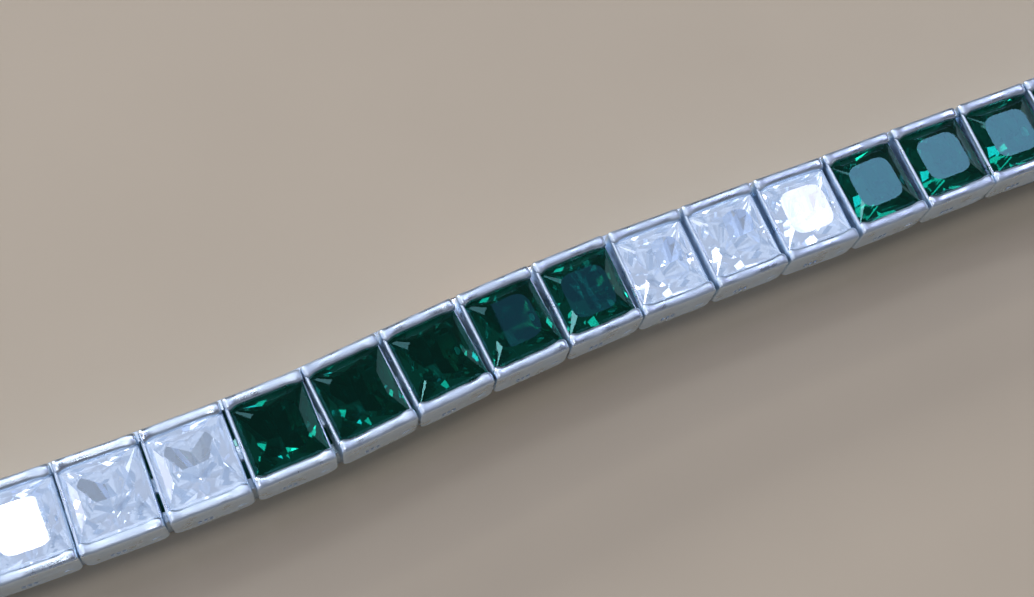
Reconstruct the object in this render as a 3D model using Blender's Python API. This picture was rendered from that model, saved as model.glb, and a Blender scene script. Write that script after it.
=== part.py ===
"""Channel-set tennis bracelet of square stones, clasped and laid flat with the stones facing up.

Forty hinged links and a plain clasp make one closed loop. Metres, +Z up. The loop lies along X:
its upper run faces up, its lower run faces down on the surface, and one link stands at each end.
The origin is the middle of the bounding box, on the surface.

A link's own frame has x from the hinge behind it to the hinge ahead, y across and z from back to face.
"""

import math

import bmesh
import bpy
from mathutils import Matrix, Vector

MM = 0.001

# Stone
STONE_WIDTH = 4.0 * MM
TABLE_SHARE = 0.64
TABLE_CORNER_SHARE = 0.38
CROWN_HEIGHT = 0.40 * MM
GIRDLE_HEIGHT = 0.08 * MM
TABLE_BELOW_RAIL = 0.05 * MM
CULET_ABOVE_BACK = 0.32 * MM

# Setting
LINK_HEIGHT = 2.5 * MM
WALL = 0.58 * MM
STONE_SEAT = 0.03 * MM
RAIL_WIDTH = 0.66 * MM
RAIL_CHAMFER = 0.10 * MM
END_BAR = 0.20 * MM
NEAR_BAR_BELOW_RAIL = 0.12 * MM
END_MARGIN = 0.09 * MM
BACK_CHAMFER = 0.30 * MM
WINDOW_LENGTH = 0.90 * MM
WINDOW_HEIGHT = 0.36 * MM
WINDOW_ABOVE_BACK = 0.50 * MM
WINDOW_PLACE = 0.38

# Hinge
LINK_GAP = 0.22 * MM
KNUCKLE_RADIUS = 0.65 * MM
HINGE_HEIGHT = 0.65 * MM
PIN_RADIUS = 0.18 * MM
PIN_CLEARANCE = 0.09 * MM
EYE_WALL = 0.18 * MM
EYE_CLEARANCE = 0.20 * MM
TONGUE_WIDTH = 0.80 * MM
TONGUE_THICKNESS = 0.36 * MM
CLASP_SLOT_CLEARANCE = 0.25 * MM
PIN_SIDES = 6
EYE_SIDES = 8
KNUCKLE_STEPS = 3

# Loop
CLASP_PITCHES = 2
RISING_LINKS = 4
REST_GAP = 0.30 * MM
LOWER_SHIFT = 0.81 * MM
GREEN_IN_A_ROW = 5
CLEAR_IN_A_ROW = 3

# The route of the upper run: each link's heading from the X axis in degrees, left to right
ROUTE_HEADINGS = (
    1.0, 0.0, -1.0, -2.0, -2.2, -1.0, 0.2, 3.8, 3.6, 2.0,
    1.0, -1.4, -1.0, -1.9, -0.4, -1.0, -2.8, -2.0, -0.5, 1.0,
)

# Colours of the finish: red, green, blue, then metallic and roughness
FINISHES = {
    "rhodium_silver": ((0.80, 0.81, 0.86), 1.0, 0.18),
    "green_stone": ((0.005, 0.10, 0.06), 0.0, 0.05),
    "clear_stone": ((0.82, 0.84, 0.92), 0.0, 0.05),
}

# Sizes that follow from those above
LINK_WIDTH = STONE_WIDTH - 2 * STONE_SEAT + 2 * WALL
LINK_LENGTH = STONE_WIDTH + 2 * END_MARGIN
PITCH = LINK_LENGTH + LINK_GAP
BODY_START = KNUCKLE_RADIUS + LINK_GAP
STONE_MIDDLE = BODY_START + LINK_LENGTH / 2
EYE_HOLE_RADIUS = PIN_RADIUS + PIN_CLEARANCE
EYE_RADIUS = EYE_HOLE_RADIUS + EYE_WALL
SLOT_TOP = HINGE_HEIGHT + EYE_RADIUS + EYE_CLEARANCE
GIRDLE_TOP = LINK_HEIGHT - TABLE_BELOW_RAIL - CROWN_HEIGHT
RAIL_LOW = GIRDLE_TOP - GIRDLE_HEIGHT / 2
BEYOND = 2 * LINK_HEIGHT
LOWER_HINGE = LINK_HEIGHT - HINGE_HEIGHT
UPPER_HINGE = LINK_HEIGHT + REST_GAP + HINGE_HEIGHT
UPPER_LINKS = len(ROUTE_HEADINGS)
LOWER_LINKS_EACH_SIDE = (UPPER_LINKS - CLASP_PITCHES) // 2


def clear_scene():
    for thing in list(bpy.data.objects):
        bpy.data.objects.remove(thing, do_unlink=True)


def make_material(name):
    colour, metallic, roughness = FINISHES[name]
    material = bpy.data.materials.new(name)
    material.use_nodes = True
    shader = material.node_tree.nodes["Principled BSDF"]
    shader.inputs["Base Color"].default_value = (*colour, 1.0)
    shader.inputs["Metallic"].default_value = metallic
    shader.inputs["Roughness"].default_value = roughness
    return material


def add_object(name, mesh):
    thing = bpy.data.objects.new(name, mesh)
    bpy.context.scene.collection.objects.link(thing)
    return thing


def shape_object(name, verts, faces, materials, slot=0):
    """An object whose faces are turned outwards and carry one of its materials."""
    mesh = bpy.data.meshes.new(name)
    mesh.from_pydata(verts, [], faces)
    for material in materials:
        mesh.materials.append(material)
    work = bmesh.new()
    work.from_mesh(mesh)
    bmesh.ops.recalc_face_normals(work, faces=work.faces)
    for face in work.faces:
        face.material_index = slot
    work.to_mesh(mesh)
    work.free()
    return add_object(name, mesh)


def prism(name, outline, low, high, materials, along="y"):
    """Extrude an outline, given in x and z along y, or in y and z along x."""
    count = len(outline)
    verts = []
    for end in (low, high):
        for first, z in outline:
            verts.append((first, end, z) if along == "y" else (end, first, z))
    faces = [tuple(range(count)), tuple(range(count, 2 * count))]
    for i in range(count):
        j = (i + 1) % count
        faces.append((i, j, count + j, count + i))
    return shape_object(name, verts, faces, materials)


def block(name, low, high, materials):
    outline = [(low[0], low[2]), (high[0], low[2]), (high[0], high[2]), (low[0], high[2])]
    return prism(name, outline, low[1], high[1], materials)


def circle(x, z, radius, sides):
    points = []
    for i in range(sides):
        angle = 2 * math.pi * (i + 0.5) / sides
        points.append((x + radius * math.cos(angle), z + radius * math.sin(angle)))
    return points


def combine(base, others, operation):
    """Unite the base with the other objects, or cut them from it, and delete them."""
    for other in others:
        modifier = base.modifiers.new(other.name, "BOOLEAN")
        modifier.operation = operation
        modifier.solver = "EXACT"
        modifier.object = other
        bpy.context.view_layer.update()
        evaluated = base.evaluated_get(bpy.context.evaluated_depsgraph_get())
        mesh = bpy.data.meshes.new_from_object(evaluated)
        base.modifiers.clear()
        base.data = mesh
        bpy.data.objects.remove(other, do_unlink=True)
    return base


def tidy_mesh(mesh):
    """Merge the flat faces that the cuts divided, and leave triangles."""
    work = bmesh.new()
    work.from_mesh(mesh)
    bmesh.ops.remove_doubles(work, verts=work.verts, dist=0.0005 * MM)
    bmesh.ops.dissolve_limit(
        work, angle_limit=math.radians(0.5), verts=work.verts, edges=work.edges, delimit={"MATERIAL"}
    )
    bmesh.ops.triangulate(work, faces=work.faces)
    work.to_mesh(mesh)
    work.free()


def ring_of_four(half, z):
    return [(half, half, z), (-half, half, z), (-half, -half, z), (half, -half, z)]


def make_stone(materials):
    """Square stone: an eight-sided table, eight crown facets, a girdle and four pavilion facets."""
    half = STONE_WIDTH / 2
    table = half * TABLE_SHARE
    corner = table * (1 - TABLE_CORNER_SHARE)
    table_z = LINK_HEIGHT - TABLE_BELOW_RAIL

    verts = []
    for sx, sy in ((1, 1), (-1, 1), (-1, -1), (1, -1)):
        side_first = (sx * table, sy * corner, table_z)
        top_first = (sx * corner, sy * table, table_z)
        verts += [side_first, top_first] if sx * sy > 0 else [top_first, side_first]
    verts += ring_of_four(half, GIRDLE_TOP)
    verts += ring_of_four(half, GIRDLE_TOP - GIRDLE_HEIGHT)
    verts.append((0, 0, CULET_ABOVE_BACK))
    verts = [(x + STONE_MIDDLE, y, z) for x, y, z in verts]

    faces = [tuple(range(8))]
    for i in range(4):
        j = (i + 1) % 4
        faces.append((2 * i, 2 * i + 1, 8 + i))
        faces.append((2 * i + 1, 2 * j, 8 + j, 8 + i))
        faces.append((8 + i, 8 + j, 12 + j, 12 + i))
        faces.append((12 + i, 12 + j, 16))
    return shape_object("stone", verts, faces, materials, slot=1)


def make_side(side, materials):
    """One long wall with its rail, which reaches over the stone's edge."""
    outer = LINK_WIDTH / 2
    wall_in = outer - WALL
    rail_in = outer - RAIL_WIDTH
    rail_high = LINK_HEIGHT - RAIL_CHAMFER
    outline = [
        (outer, 0),
        (outer, rail_high),
        (outer - RAIL_CHAMFER, LINK_HEIGHT),
        (rail_in + RAIL_CHAMFER, LINK_HEIGHT),
        (rail_in, rail_high),
        (rail_in, RAIL_LOW),
        (wall_in, RAIL_LOW),
        (wall_in, 0),
    ]
    outline = [(side * y, z) for y, z in outline]
    return prism("side", outline, BODY_START, PITCH + KNUCKLE_RADIUS, materials, along="x")


def knuckle_cutter(hinge_x, materials):
    """What is cut from under a hinge to leave a round knuckle about its pin."""
    outline = []
    for i in range(KNUCKLE_STEPS + 1):
        angle = -math.pi / 2 * i / KNUCKLE_STEPS
        outline.append((
            hinge_x + KNUCKLE_RADIUS * math.cos(angle),
            HINGE_HEIGHT + KNUCKLE_RADIUS * math.sin(angle),
        ))
    outline.append((hinge_x, -BEYOND))
    outline.append((hinge_x + BEYOND, -BEYOND))
    outline.append((hinge_x + BEYOND, HINGE_HEIGHT))
    return prism("knuckle_cutter", outline, -BEYOND, BEYOND, materials)


def back_corner_cutter(materials):
    """The bevel under a body's near end, which clears the link behind when the hinge folds."""
    reach = BEYOND
    outline = [
        (BODY_START - reach, BACK_CHAMFER + reach),
        (BODY_START - reach, -reach),
        (BODY_START + BACK_CHAMFER + reach, -reach),
    ]
    return prism("back_corner_cutter", outline, -BEYOND, BEYOND, materials)


def window_cutter(materials):
    """The small open window through both side walls."""
    middle = BODY_START + WINDOW_PLACE * LINK_LENGTH
    low = (middle - WINDOW_LENGTH / 2, -BEYOND, WINDOW_ABOVE_BACK)
    high = (middle + WINDOW_LENGTH / 2, BEYOND, WINDOW_ABOVE_BACK + WINDOW_HEIGHT)
    return block("window_cutter", low, high, materials)


def make_tongue(materials):
    """The narrow bar with an eye that sits on the pin of the link behind."""
    half = TONGUE_WIDTH / 2
    bar_low = (0, -half, HINGE_HEIGHT - TONGUE_THICKNESS / 2)
    bar_high = (BODY_START + END_BAR / 2, half, HINGE_HEIGHT + TONGUE_THICKNESS / 2)
    tongue = block("tongue", bar_low, bar_high, materials)
    eye = prism("eye", circle(0, HINGE_HEIGHT, EYE_RADIUS, EYE_SIDES), -half, half, materials)
    combine(tongue, [eye], "UNION")
    hole = prism("eye_hole", circle(0, HINGE_HEIGHT, EYE_HOLE_RADIUS, EYE_SIDES), -BEYOND, BEYOND, materials)
    return combine(tongue, [hole], "DIFFERENCE")


def make_pin(hinge_x, materials):
    reach = LINK_WIDTH / 2 - WALL / 2
    return prism("pin", circle(hinge_x, HINGE_HEIGHT, PIN_RADIUS, PIN_SIDES), -reach, reach, materials)


def make_link_mesh(materials):
    """A set link: two walls with rails, two end bars, stone, pin and tongue in one solid.

    The near bar stands up between the stones and shows; the far one stops under the stone's edge.
    """
    inner = LINK_WIDTH / 2 - WALL / 2
    near_top = LINK_HEIGHT - NEAR_BAR_BELOW_RAIL
    near_bar = block("near_bar", (BODY_START, -inner, 0), (BODY_START + END_BAR, inner, near_top), materials)
    far_end = PITCH + KNUCKLE_RADIUS
    far_bar = block("far_bar", (far_end - END_BAR, -inner, SLOT_TOP), (far_end, inner, RAIL_LOW), materials)

    link = make_side(1, materials)
    combine(link, [make_side(-1, materials)], "UNION")
    combine(link, [near_bar, far_bar], "UNION")
    cutters = [knuckle_cutter(PITCH, materials), back_corner_cutter(materials), window_cutter(materials)]
    combine(link, cutters, "DIFFERENCE")
    combine(link, [make_stone(materials), make_pin(PITCH, materials), make_tongue(materials)], "UNION")
    mesh = link.data
    tidy_mesh(mesh)
    bpy.data.objects.remove(link, do_unlink=True)
    return mesh


def make_clasp_mesh(materials):
    """The clasp as one plain case with the same tongue and pin as a link."""
    hinge_x = CLASP_PITCHES * PITCH
    far_end = hinge_x + KNUCKLE_RADIUS
    half = LINK_WIDTH / 2
    slot_half = TONGUE_WIDTH / 2 + CLASP_SLOT_CLEARANCE
    slot_start = hinge_x - EYE_RADIUS - EYE_CLEARANCE
    chamfer = RAIL_CHAMFER
    outline = [
        (half, 0),
        (half, LINK_HEIGHT - chamfer),
        (half - chamfer, LINK_HEIGHT),
        (chamfer - half, LINK_HEIGHT),
        (-half, LINK_HEIGHT - chamfer),
        (-half, 0),
    ]
    clasp = prism("case", outline, BODY_START, far_end, materials, along="x")
    slot = block("slot", (slot_start, -slot_half, -BEYOND), (far_end + BEYOND, slot_half, SLOT_TOP), materials)
    combine(clasp, [knuckle_cutter(hinge_x, materials), back_corner_cutter(materials), slot], "DIFFERENCE")
    combine(clasp, [make_pin(hinge_x, materials), make_tongue(materials)], "UNION")
    mesh = clasp.data
    tidy_mesh(mesh)
    bpy.data.objects.remove(clasp, do_unlink=True)
    return mesh


def rising_slopes(step):
    """Slope of each upper link: the run climbs towards both ends, a step more at each joint."""
    slopes = []
    for i in range(UPPER_LINKS):
        near_left = max(0, RISING_LINKS - i)
        near_right = max(0, RISING_LINKS - (UPPER_LINKS - 1 - i))
        slopes.append(step * (near_right - near_left))
    return slopes


def upper_hinges(step):
    """Hinge points of the upper run from left to right, with its flat middle at its resting height."""
    points = [Vector((0, 0, 0))]
    for heading, slope in zip(ROUTE_HEADINGS, rising_slopes(step)):
        turn = math.radians(heading)
        flat = PITCH * math.cos(slope)
        way = Vector((flat * math.cos(turn), flat * math.sin(turn), PITCH * math.sin(slope)))
        points.append(points[-1] + way)
    drop = min(point.z for point in points) - UPPER_HINGE
    return [point - Vector((0, 0, drop)) for point in points]


def route_y(upper, x):
    """Where the upper run's centre line is, across the bracelet, at a place along it."""
    for left, right in zip(upper, upper[1:]):
        if x <= right.x:
            break
    share = (x - left.x) / (right.x - left.x)
    return left.y + share * (right.y - left.y)


def lower_y(upper, x):
    """The lower run's centre line: under the upper one at the ends, shifted back in the middle."""
    middle = (upper[0].x + upper[-1].x) / 2
    half = (upper[-1].x - upper[0].x) / 2
    share = min(1.0, abs(x - middle) / half)
    return route_y(upper, x) + LOWER_SHIFT * (1 - share ** 8) ** 2


def step_along(upper, start, length):
    """The next hinge of the lower run, a length away along its centre line."""
    x = start.x + length
    for _ in range(20):
        across = lower_y(upper, x) - start.y
        x = start.x + math.copysign(math.sqrt(length ** 2 - across ** 2), length)
    return Vector((x, lower_y(upper, x), LOWER_HINGE))


def lower_hinges(upper):
    """Hinge points of the lower run from right to left, worked out from the clasp both ways."""
    clasp_left = (upper[0].x + upper[-1].x - CLASP_PITCHES * PITCH) / 2
    left = [Vector((clasp_left, lower_y(upper, clasp_left), LOWER_HINGE))]
    right = [step_along(upper, left[0], CLASP_PITCHES * PITCH)]
    for _ in range(LOWER_LINKS_EACH_SIDE):
        left.append(step_along(upper, left[-1], -PITCH))
        right.append(step_along(upper, right[-1], PITCH))
    return right[::-1] + left


def end_link_excess(step):
    """How much longer than a pitch the two end links would have to be."""
    upper = upper_hinges(step)
    lower = lower_hinges(upper)
    return (upper[0] - lower[-1]).length + (upper[-1] - lower[0]).length - 2 * PITCH


def closed_route():
    """Hinge points of the upper and the lower run, with the climb that closes the loop."""
    low = 0.0
    high = math.radians(12)
    for _ in range(40):
        middle = (low + high) / 2
        if end_link_excess(middle) > 0:
            high = middle
        else:
            low = middle
    upper = upper_hinges(low)
    return upper, lower_hinges(upper)


def piece_frame(start, end, across):
    """The placing of a piece whose two hinge lines lie at these points."""
    x_axis = (end - start).normalized()
    z_axis = x_axis.cross(across).normalized()
    y_axis = z_axis.cross(x_axis)
    turned = Matrix((x_axis, y_axis, z_axis)).transposed().to_4x4()
    return Matrix.Translation(start - HINGE_HEIGHT * z_axis) @ turned


def across_of(start, end):
    """The level direction across a run, towards +Y."""
    way = end - start
    across = Vector((-way.y, way.x, 0)).normalized()
    return across if across.y > 0 else -across


def loop_frames():
    """The placing of each piece round the loop, from the link after the clasp to the clasp."""
    upper, lower = closed_route()
    beside = LOWER_LINKS_EACH_SIDE
    frames = []
    for start, end in zip(lower[beside + 1:], lower[beside + 2:]):
        frames.append(piece_frame(start, end, across_of(start, end)))
    frames.append(piece_frame(lower[-1], upper[0], across_of(upper[0], upper[1])))
    for start, end in zip(upper, upper[1:]):
        frames.append(piece_frame(start, end, across_of(start, end)))
    frames.append(piece_frame(upper[-1], lower[0], across_of(upper[-2], upper[-1])))
    for start, end in zip(lower[:beside], lower[1:beside + 1]):
        frames.append(piece_frame(start, end, across_of(start, end)))
    start, end = lower[beside], lower[beside + 1]
    frames.append(piece_frame(start, end, across_of(start, end)))
    return frames


def stone_colour(number):
    """Stones repeat a row of green ones and a row of clear ones, counted from the clasp."""
    place = (number - 1) % (GREEN_IN_A_ROW + CLEAR_IN_A_ROW)
    return "green" if place < GREEN_IN_A_ROW else "clear"


def centre_on_origin(pieces):
    """Move everything so that the bounding box stands with the middle of its base on the origin."""
    corners = []
    for piece in pieces:
        corners += [piece.matrix_world @ vertex.co for vertex in piece.data.vertices]
    low = Vector(min(corner[axis] for corner in corners) for axis in range(3))
    high = Vector(max(corner[axis] for corner in corners) for axis in range(3))
    move = Matrix.Translation(Vector((-(low.x + high.x) / 2, -(low.y + high.y) / 2, -low.z)))
    for piece in pieces:
        piece.matrix_world = move @ piece.matrix_world


def build():
    clear_scene()
    metal = make_material("rhodium_silver")
    stones = {"green": make_material("green_stone"), "clear": make_material("clear_stone")}
    meshes = {"green": make_link_mesh([metal, stones["green"]])}
    meshes["clear"] = meshes["green"].copy()
    meshes["clear"].materials[1] = stones["clear"]

    frames = loop_frames()
    pieces = []
    for number, frame in enumerate(frames[:-1], start=1):
        colour = stone_colour(number)
        pieces.append(add_object(f"link_{number:02d}_{colour}", meshes[colour]))
        pieces[-1].matrix_world = frame
    pieces.append(add_object("clasp", make_clasp_mesh([metal])))
    pieces[-1].matrix_world = frames[-1]
    centre_on_origin(pieces)


build()
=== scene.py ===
"""Channel-set tennis bracelet: square green and clear stones in polished rhodium-plated silver.

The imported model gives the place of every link. Each link's setting and stone is modelled once, in
the link's own frame, and a Geometry Nodes tree places it forty times round the loop.
"""

import math

import bmesh
import bpy
import numpy as np
from mathutils import Matrix, Vector


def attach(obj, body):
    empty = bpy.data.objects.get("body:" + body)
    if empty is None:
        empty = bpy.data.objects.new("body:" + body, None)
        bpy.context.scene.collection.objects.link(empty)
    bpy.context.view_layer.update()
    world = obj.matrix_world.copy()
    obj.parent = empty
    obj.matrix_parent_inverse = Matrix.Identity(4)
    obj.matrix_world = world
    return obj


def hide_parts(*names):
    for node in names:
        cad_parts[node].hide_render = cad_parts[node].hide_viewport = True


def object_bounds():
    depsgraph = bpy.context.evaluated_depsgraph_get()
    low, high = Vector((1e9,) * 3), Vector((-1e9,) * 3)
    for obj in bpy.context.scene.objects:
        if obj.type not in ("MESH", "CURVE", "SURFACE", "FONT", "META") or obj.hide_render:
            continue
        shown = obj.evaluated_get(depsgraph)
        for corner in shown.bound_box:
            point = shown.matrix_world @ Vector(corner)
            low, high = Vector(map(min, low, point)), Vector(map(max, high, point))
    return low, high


bl_info = {
    "name": "Tennis Bracelet",
    "version": (1, 0, 0),
    "blender": (4, 5, 0),
    "location": "View3D > Sidebar > Bracelet",
    "description": "Builds a channel-set tennis bracelet round its packed links",
    "category": "Object",
}

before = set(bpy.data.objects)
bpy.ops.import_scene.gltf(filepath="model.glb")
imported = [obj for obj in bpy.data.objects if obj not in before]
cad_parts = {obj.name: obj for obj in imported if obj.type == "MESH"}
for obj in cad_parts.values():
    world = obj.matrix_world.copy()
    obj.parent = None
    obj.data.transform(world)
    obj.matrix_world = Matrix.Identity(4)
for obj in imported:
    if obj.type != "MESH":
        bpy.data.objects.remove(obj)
CAD_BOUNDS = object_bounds()

MM = 0.001
LINK_NODES = sorted(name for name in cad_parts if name.startswith("link_"))
BODY = "root"

# Directions with a cosine below this count as square to each other
SQUARE_LIMIT = 0.1
# Edges that turn more than this stay sharp on the metal
SHARP_ANGLE = math.radians(38)
EDGE_ROUND = 0.05 * MM
# Room round a tongue's eye in the piece that holds it
SLOT_CLEARANCE = 0.2 * MM
SLOT_SIDE_CLEARANCE = 0.25 * MM
RIPPLES_PER_METRE = 1100.0


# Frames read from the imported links


def face_groups(mesh):
    """The mesh's face directions with the area that faces each, largest area first."""
    mesh.calc_loop_triangles()
    groups = {}
    for triangle in mesh.loop_triangles:
        key = tuple(round(value, 2) for value in triangle.normal)
        area, total = groups.get(key, (0.0, Vector()))
        groups[key] = (area + triangle.area, total + triangle.normal * triangle.area)
    ranked = sorted(groups.values(), key=lambda pair: -pair[0])
    return [total.normalized() for area, total in ranked]


def extent(mesh, axis):
    """Lowest and highest place of the mesh along an axis."""
    places = [vertex.co.dot(axis) for vertex in mesh.vertices]
    return min(places), max(places)


def measure_piece(name, length):
    """Origin, axes and size of a link or the clasp: x along the chain from its near end, z to its face.

    The side walls are the largest of its faces that stand upright. Of the other large faces, those
    across its least extent are its top.
    """
    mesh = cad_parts[name].data
    directions = face_groups(mesh)
    upright = next(way for way in directions if abs(way.z) < SQUARE_LIMIT)
    across = upright if upright.y > 0 else -upright
    level = [way for way in directions if abs(way.dot(across)) < SQUARE_LIMIT][:3]
    spans = [extent(mesh, way)[1] - extent(mesh, way)[0] for way in level]
    face = level[spans.index(min(spans))]
    along = across.cross(face).normalized()
    back, front = extent(mesh, face)
    left, right = extent(mesh, across)
    origin = along * (extent(mesh, along)[1] - length) + across * (left + right) / 2 + face * back
    return {"origin": origin, "x": along, "z": face, "height": front - back, "width": right - left}


FIRST_LINK = measure_piece(LINK_NODES[0], 0.0)


# Values that a user would change


class BraceletSetting(bpy.types.PropertyGroup):
    """Sizes of one channel setting."""

    length: bpy.props.FloatProperty(
        name="Length", description="A link's body along the chain", default=4.18 * MM, unit="LENGTH",
        precision=5)
    width: bpy.props.FloatProperty(
        name="Width", description="A link across its rails", default=FIRST_LINK["width"], unit="LENGTH",
        precision=5)
    height: bpy.props.FloatProperty(
        name="Height", description="A link from back to rail", default=FIRST_LINK["height"], unit="LENGTH",
        precision=5)
    wall: bpy.props.FloatProperty(
        name="Wall", description="Thickness of a side wall", default=0.58 * MM, unit="LENGTH", precision=5)
    rail_width: bpy.props.FloatProperty(
        name="Rail width", description="Width of a rail seen from above", default=0.60 * MM, unit="LENGTH",
        precision=5)
    rail_round: bpy.props.FloatProperty(
        name="Rail round", description="Height of a rail's rounded top", default=0.20 * MM, unit="LENGTH",
        precision=5)
    rail_flat: bpy.props.FloatProperty(
        name="Rail flatness", description="1 is a half-round rail, less is a flatter one", default=0.72,
        min=0.3, max=1.0)
    rail_wave: bpy.props.FloatProperty(
        name="Rail wave", description="How much wider a rail is where it is burnished down near its ends",
        default=0.13 * MM, unit="LENGTH", precision=5)
    rail_end: bpy.props.FloatProperty(
        name="Rail end", description="Radius of a rail's rounded ends", default=0.20 * MM, unit="LENGTH",
        precision=5)
    bar: bpy.props.FloatProperty(
        name="Bar", description="Thickness of an end bar", default=0.20 * MM, unit="LENGTH", precision=5)
    bar_below_rail: bpy.props.FloatProperty(
        name="Bar below rail", description="Near bar's top below the rail", default=0.12 * MM,
        unit="LENGTH", precision=5)
    back_bevel: bpy.props.FloatProperty(
        name="Back bevel", description="Bevel under the near end", default=0.30 * MM, unit="LENGTH",
        precision=5)
    knuckle: bpy.props.FloatProperty(
        name="Knuckle", description="Radius of the far end about its pin", default=0.65 * MM, unit="LENGTH",
        precision=5)
    hinge_height: bpy.props.FloatProperty(
        name="Hinge height", description="Pin above the back", default=0.65 * MM, unit="LENGTH",
        precision=5)
    gap: bpy.props.FloatProperty(
        name="Gap", description="Gap between links", default=0.22 * MM, unit="LENGTH", precision=5)
    lap: bpy.props.FloatProperty(
        name="Lap", description="How far the near end is drawn out into the gap", default=0.04 * MM,
        unit="LENGTH", precision=5)
    pin: bpy.props.FloatProperty(
        name="Pin", description="Radius of the hinge pin", default=0.18 * MM, unit="LENGTH", precision=5)
    eye_hole: bpy.props.FloatProperty(
        name="Eye hole", description="Radius of the tongue's hole", default=0.23 * MM, unit="LENGTH",
        precision=5)
    eye: bpy.props.FloatProperty(
        name="Eye", description="Outer radius of the tongue's eye", default=0.36 * MM, unit="LENGTH",
        precision=5)
    tongue: bpy.props.FloatProperty(
        name="Tongue", description="Width of the tongue", default=0.80 * MM, unit="LENGTH", precision=5)
    tongue_thick: bpy.props.FloatProperty(
        name="Tongue thickness", description="Thickness of the tongue", default=0.36 * MM, unit="LENGTH",
        precision=5)
    window_length: bpy.props.FloatProperty(
        name="Window length", description="Side window along the link", default=0.90 * MM, unit="LENGTH",
        precision=5)
    window_height: bpy.props.FloatProperty(
        name="Window height", description="Side window's height", default=0.36 * MM, unit="LENGTH",
        precision=5)
    window_low: bpy.props.FloatProperty(
        name="Window low", description="Side window above the back", default=0.50 * MM, unit="LENGTH",
        precision=5)
    window_place: bpy.props.FloatProperty(
        name="Window place", description="Its middle as a share of the length", default=0.38,
        subtype="FACTOR")
    ripple: bpy.props.FloatProperty(
        name="Ripple", description="Hand-polished unevenness of the metal", default=0.022 * MM,
        unit="LENGTH", precision=6)


class BraceletStone(bpy.types.PropertyGroup):
    """Sizes and colours of the stones."""

    width: bpy.props.FloatProperty(
        name="Width", description="Stone across its girdle", default=4.0 * MM, unit="LENGTH", precision=5)
    table: bpy.props.FloatProperty(
        name="Table", description="Table as a share of the width", default=0.64, subtype="FACTOR")
    table_power: bpy.props.FloatProperty(
        name="Table shape", description="1 is a square table, 2 a round one", default=1.32, min=1.0,
        max=2.0)
    crown_facets: bpy.props.IntProperty(
        name="Crown facets", description="Facets round the table", default=24, min=8)
    crown: bpy.props.FloatProperty(
        name="Crown", description="Crown height", default=0.40 * MM, unit="LENGTH", precision=5)
    girdle: bpy.props.FloatProperty(
        name="Girdle", description="Girdle thickness", default=0.08 * MM, unit="LENGTH", precision=5)
    below_rail: bpy.props.FloatProperty(
        name="Below rail", description="Table below the rail", default=0.05 * MM, unit="LENGTH",
        precision=5)
    culet: bpy.props.FloatProperty(
        name="Culet", description="Culet above the link's back", default=0.25 * MM, unit="LENGTH",
        precision=5)
    wobble: bpy.props.FloatProperty(
        name="Wobble", description="How unevenly the stones are seated", default=math.radians(1.2),
        subtype="ANGLE")
    green: bpy.props.FloatVectorProperty(
        name="Green", description="Body colour of the green stones", default=(0.0015, 0.16, 0.10),
        subtype="COLOR", min=0.0, max=1.0)
    clear: bpy.props.FloatVectorProperty(
        name="Clear", description="Body colour of the clear stones", default=(0.70, 0.81, 1.0),
        subtype="COLOR", min=0.0, max=1.0)
    green_mirror: bpy.props.FloatVectorProperty(
        name="Green mirror", description="Tint of what the green stones' faces mirror",
        default=(0.36, 1.0, 1.0), subtype="COLOR", min=0.0, max=1.0)
    green_index: bpy.props.FloatProperty(
        name="Green index", description="Refractive index of the green stones", default=1.54, min=1.3,
        max=2.6)
    # Painted light: the green stones glow faintly and steadily in their body colour, whatever lights them.
    green_painted_glow: bpy.props.FloatProperty(
        name="Green glow", description="Stray light that the green stones scatter from within",
        default=0.03, min=0.0)
    # Painted light: the clear stones glow steadily in their pale blue body colour, which lightens them to
    # lavender-white whatever lights them.
    clear_painted_glow: bpy.props.FloatProperty(
        name="Clear glow", description="Stray light that the clear stones scatter from within",
        default=0.155, min=0.0)
    clearness: bpy.props.FloatProperty(
        name="Clearness", description="Share of light that passes the clear stones unscattered",
        default=0.95, subtype="FACTOR")
    clear_index: bpy.props.FloatProperty(
        name="Clear index", description="Refractive index of the clear stones", default=2.15, min=1.3,
        max=2.6)


class BraceletMetal(bpy.types.PropertyGroup):
    """Finish of the rhodium-plated silver."""

    colour: bpy.props.FloatVectorProperty(
        name="Colour", description="Colour of the plating", default=(0.72, 0.86, 1.0), subtype="COLOR",
        min=0.0, max=1.0)
    roughness: bpy.props.FloatProperty(
        name="Roughness", description="Roughness of the polish", default=0.34, subtype="FACTOR")


class BraceletStage(bpy.types.PropertyGroup):
    """Floor, camera and light."""

    floor: bpy.props.FloatVectorProperty(
        name="Floor", description="Colour of the floor", default=(0.62, 0.545, 0.41), subtype="COLOR",
        min=0.0, max=1.0)
    elevation: bpy.props.FloatProperty(
        name="Elevation", description="Camera above the horizon", default=math.radians(69.44),
        subtype="ANGLE")
    azimuth: bpy.props.FloatProperty(
        name="Azimuth", description="Camera's heading from +Y towards +X", default=math.radians(39.41),
        subtype="ANGLE")
    roll: bpy.props.FloatProperty(
        name="Roll", description="Camera turned about its own axis", default=math.radians(16.13),
        subtype="ANGLE")
    distance: bpy.props.FloatProperty(
        name="Distance", description="Camera to its target", default=78.4 * MM, unit="LENGTH", precision=5)
    target: bpy.props.FloatVectorProperty(
        name="Target", description="What the camera looks at", default=(-0.79 * MM, 0.95 * MM, 5.3 * MM),
        subtype="XYZ", unit="LENGTH", precision=5)
    focal: bpy.props.FloatProperty(
        name="Focal length", description="Focal length in millimetres for a 36 mm sensor", default=52.2)


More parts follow.
